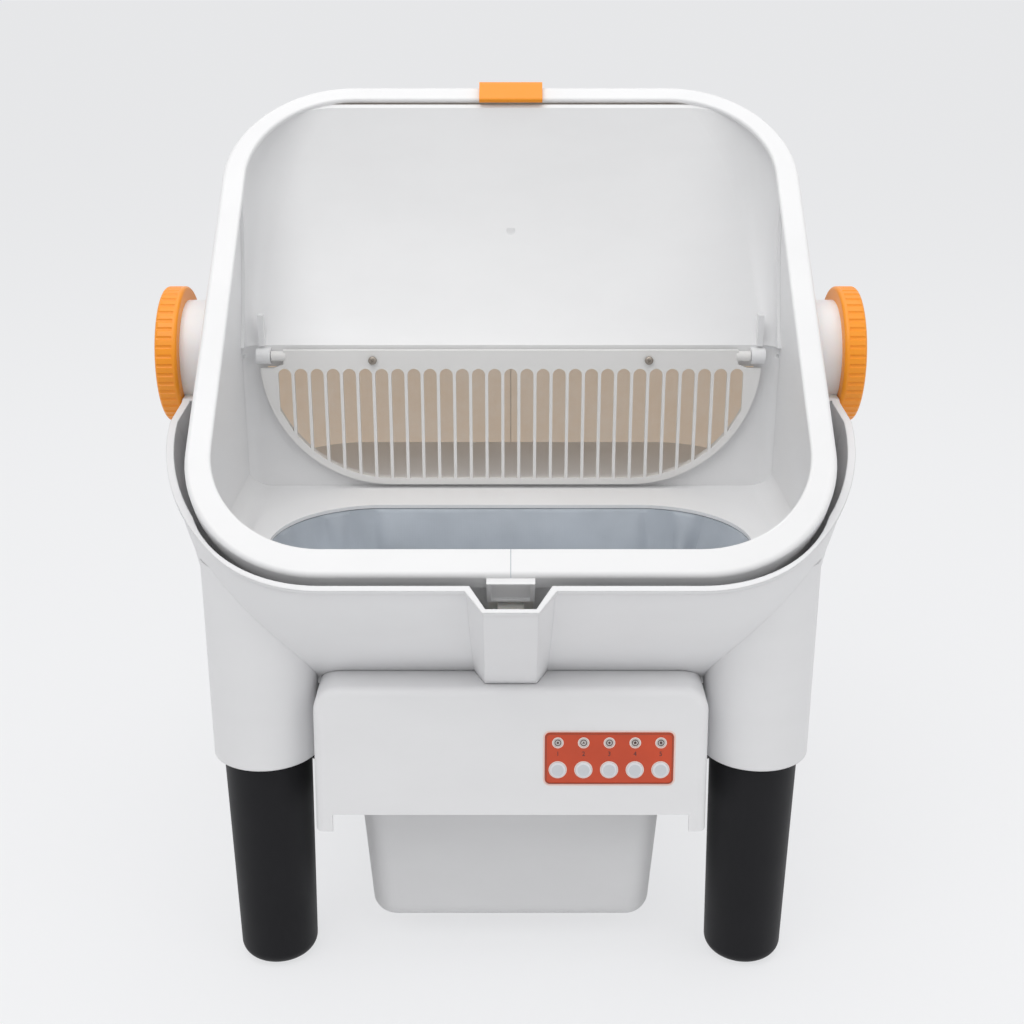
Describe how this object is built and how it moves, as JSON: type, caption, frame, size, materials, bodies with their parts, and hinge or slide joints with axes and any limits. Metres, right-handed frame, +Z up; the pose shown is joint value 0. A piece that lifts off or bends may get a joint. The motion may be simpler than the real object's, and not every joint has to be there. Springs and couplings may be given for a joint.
{
  "type": "self-cleaning litter box",
  "caption": "Open-topped self-cleaning litter box: a turning tub with a sifting grate and soft liner on a legged base with a waste bin.",
  "frame": {"origin": "centre of the footprint, on the floor", "axes": "+X to the object's right seen from the front, +Y to the back, +Z up"},
  "size_m": [0.586, 0.5644, 0.6949],
  "materials": {
    "shell_white": "satin",
    "hub_white": "satin",
    "frame_white": "satin",
    "grate_white": "satin",
    "base_white": "satin",
    "cover_white": "satin",
    "bin_white": "satin",
    "liner_grey": "soft matt",
    "orange": "gloss",
    "gear_nylon": "satin",
    "leg_black": "satin",
    "pad_rubber": "matt",
    "panel_red": "gloss",
    "button_white": "gloss",
    "lens_white": "clear",
    "board_green": "lacquered",
    "switch_black": "matt",
    "motor_steel": "zinc plated",
    "steel": "bright",
    "bush_brass": "sintered"
  },
  "bodies": {
    "base": {"base_shell": "base_white", "under_frame": "base_white", "saddle_bush_left": "gear_nylon", "saddle_bush_right": "gear_nylon", "leg_front_left": "leg_black", "leg_front_right": "leg_black", "leg_rear_left": "leg_black", "leg_rear_right": "leg_black", "foot_pads": "pad_rubber", "control_cover": "cover_white", "control_panel": "panel_red", "indicator_lenses": "lens_white", "circuit_board": "board_green", "board_screws": "steel", "key_switches": "switch_black", "cover_screws": "steel", "rail_screws": "steel", "motor_screws": "steel", "shaft_bushes": "bush_brass", "gear_motor": "motor_steel", "waste_chute": "base_white", "bin_rail_left": "base_white", "bin_rail_right": "base_white", "power_inlet": "switch_black"},
    "tub": {"tub_half_left": "shell_white", "tub_half_right": "shell_white", "hub_left": "hub_white", "hub_right": "hub_white", "hub_screws": "steel", "knob_left": "orange", "knob_right": "orange", "knob_screws": "steel", "drive_track": "gear_nylon", "track_screws": "steel", "front_clip": "shell_white", "latch_pin": "steel", "inner_frame": "frame_white", "liner_ring": "frame_white", "liner": "liner_grey", "back_wall": "frame_white"},
    "pinion": {"drive_pinion": "gear_nylon", "pinion_shaft": "steel"},
    "grate": {"sifting_grate": "grate_white", "grate_screws": "steel", "grate_pins": "steel"},
    "latch": {"rear_latch": "orange"},
    "bin": {"waste_bin": "bin_white", "bag_ring": "gear_nylon"},
    "button_1": {"button_1": "button_white"},
    "button_2": {"button_2": "button_white"},
    "button_3": {"button_3": "button_white"},
    "button_4": {"button_4": "button_white"},
    "button_5": {"button_5": "button_white"}
  },
  "joints": [
    {"name": "tub_turn", "type": "hinge", "parent": "base", "child": "tub", "pos_m": [0, -0.01295, 0.48], "axis": [1, 0, 0], "range_deg": [-165, 25]},
    {"name": "pinion_turn", "type": "hinge", "parent": "base", "child": "pinion", "pos_m": [0, -0.15995, 0.22539], "axis": [1, 0, 0], "range_deg": [-285, 1860]},
    {"name": "grate_swing", "type": "hinge", "parent": "tub", "child": "grate", "pos_m": [0, 0.04755, 0.463], "axis": [1, 0, 0], "range_deg": [-35, 0]},
    {"name": "latch_swing", "type": "hinge", "parent": "tub", "child": "latch", "pos_m": [0, 0.15318, 0.68058], "axis": [-1, 0, 0], "range_deg": [0, 80]},
    {"name": "bin_slide", "type": "slide", "parent": "base", "child": "bin", "axis": [0, -1, 0], "range_m": [0, 0.28]},
    {"name": "button_1", "type": "slide", "parent": "base", "child": "button_1", "axis": [0, 0.9925, -0.1219], "range_m": [0, 0.0012], "stiffness_N_per_m": 800},
    {"name": "button_2", "type": "slide", "parent": "base", "child": "button_2", "axis": [0, 0.9925, -0.1219], "range_m": [0, 0.0012], "stiffness_N_per_m": 800},
    {"name": "button_3", "type": "slide", "parent": "base", "child": "button_3", "axis": [0, 0.9925, -0.1219], "range_m": [0, 0.0012], "stiffness_N_per_m": 800},
    {"name": "button_4", "type": "slide", "parent": "base", "child": "button_4", "axis": [0, 0.9925, -0.1219], "range_m": [0, 0.0012], "stiffness_N_per_m": 800},
    {"name": "button_5", "type": "slide", "parent": "base", "child": "button_5", "axis": [0, 0.9925, -0.1219], "range_m": [0, 0.0012], "stiffness_N_per_m": 800}
  ],
  "couplings": [
    {"joint": "pinion_turn", "follows": "tub_turn", "ratio": -11.25}
  ]
}
